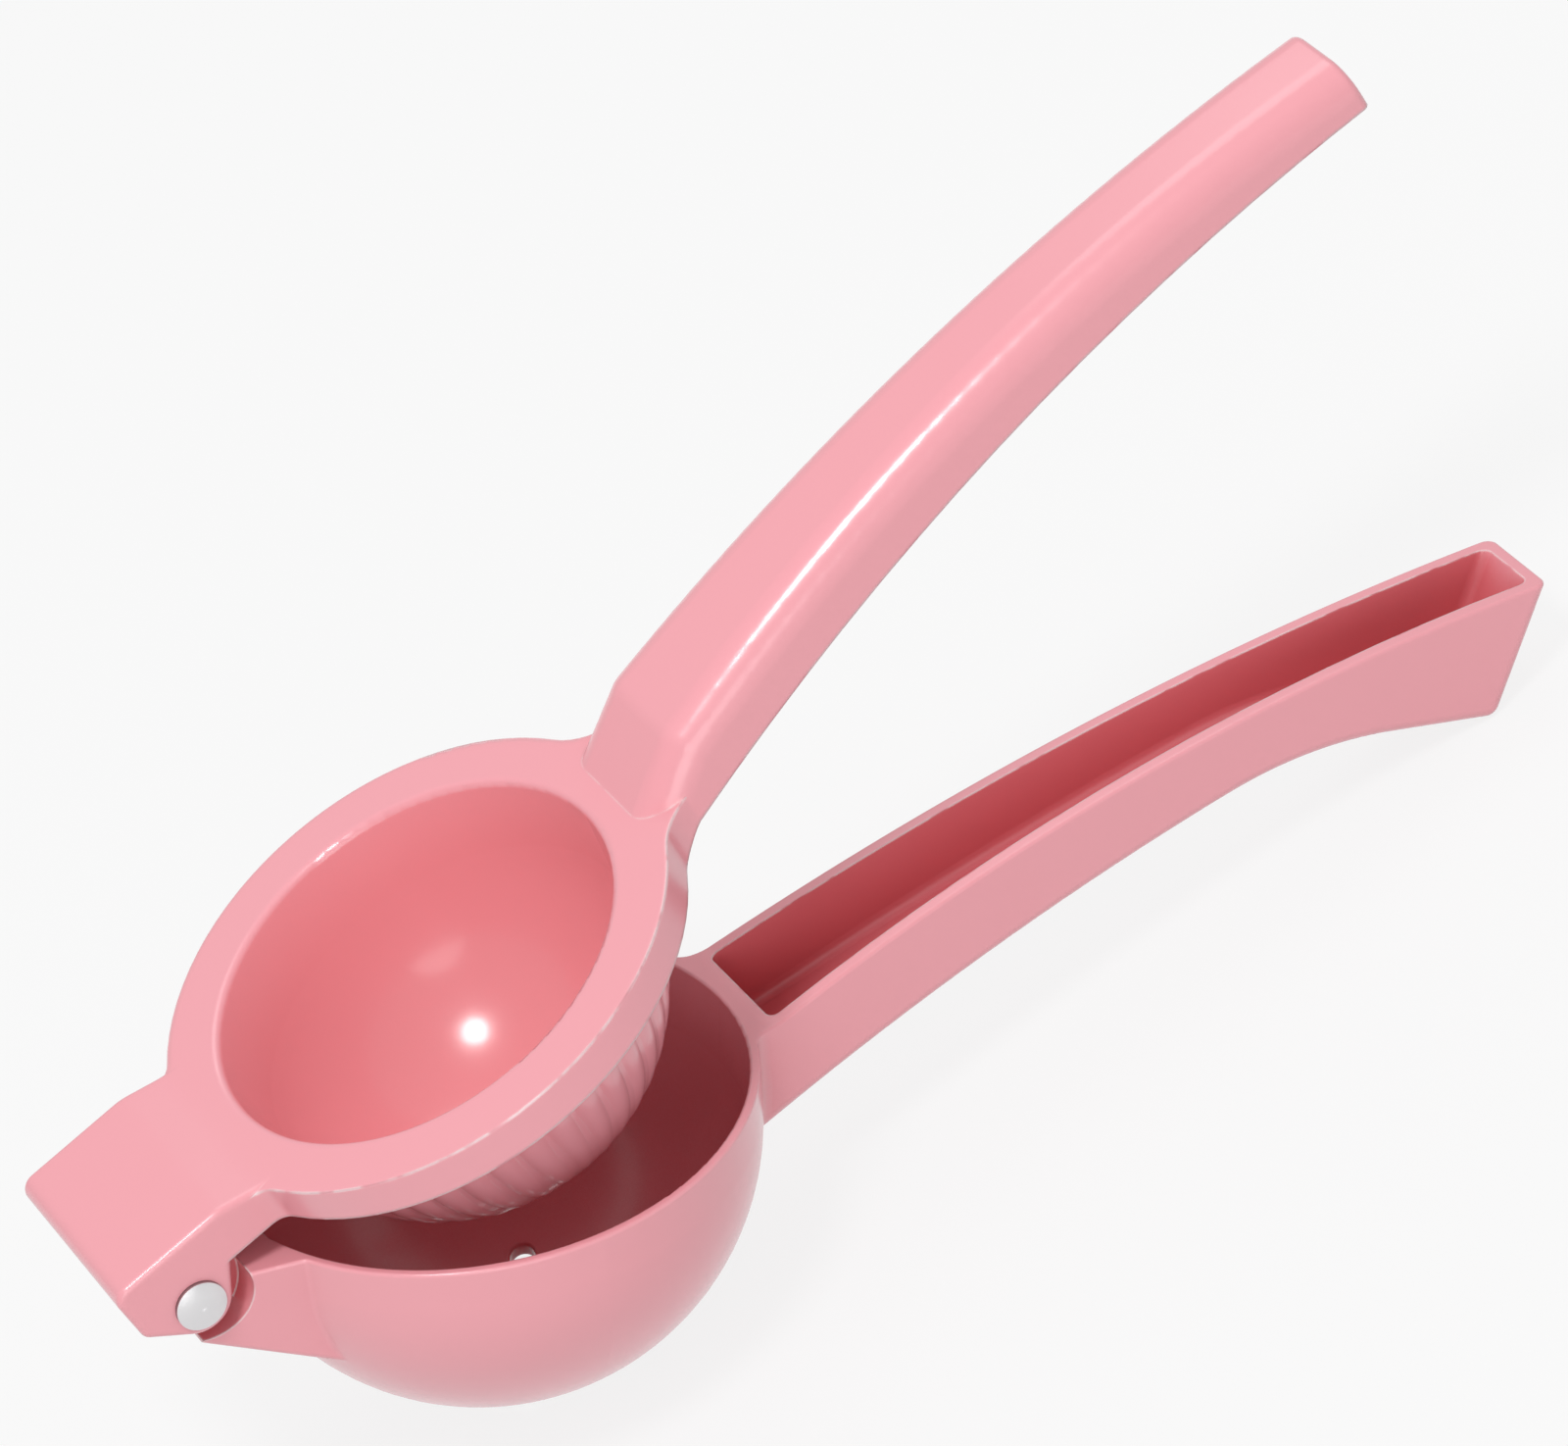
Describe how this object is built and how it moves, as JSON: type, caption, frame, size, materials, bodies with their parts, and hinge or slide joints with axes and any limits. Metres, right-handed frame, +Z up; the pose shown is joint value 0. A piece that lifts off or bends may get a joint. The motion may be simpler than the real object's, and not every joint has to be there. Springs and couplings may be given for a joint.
{
  "type": "lemon squeezer",
  "caption": "Hinged hand press for lemons: a perforated bowl on a channel-section handle and a fluted press cup on an upper handle, joined by a rivet.",
  "frame": {"origin": "the point of the bowl that touches the table, under the middle of the bowl, with the squeezer lying on its bowl and on the heel of the lower handle", "axes": "+X from the hinge towards the handle ends, +Y across the squeezer along the rivet, +Z up from the table"},
  "size_m": [0.2137, 0.0736, 0.103],
  "materials": {
    "lower_enamel": "gloss",
    "upper_enamel": "gloss",
    "rivet_steel": "brushed"
  },
  "bodies": {
    "bowl_arm": {"bowl_arm": "lower_enamel"},
    "press_arm": {"press_arm": "upper_enamel", "hinge_pin": "rivet_steel"}
  },
  "joints": [
    {"name": "hinge", "type": "hinge", "parent": "bowl_arm", "child": "press_arm", "pos_m": [-0.04402, 0, 0.05023], "axis": [0, -1, 0], "range_deg": [-22.8, 67.2]}
  ]
}
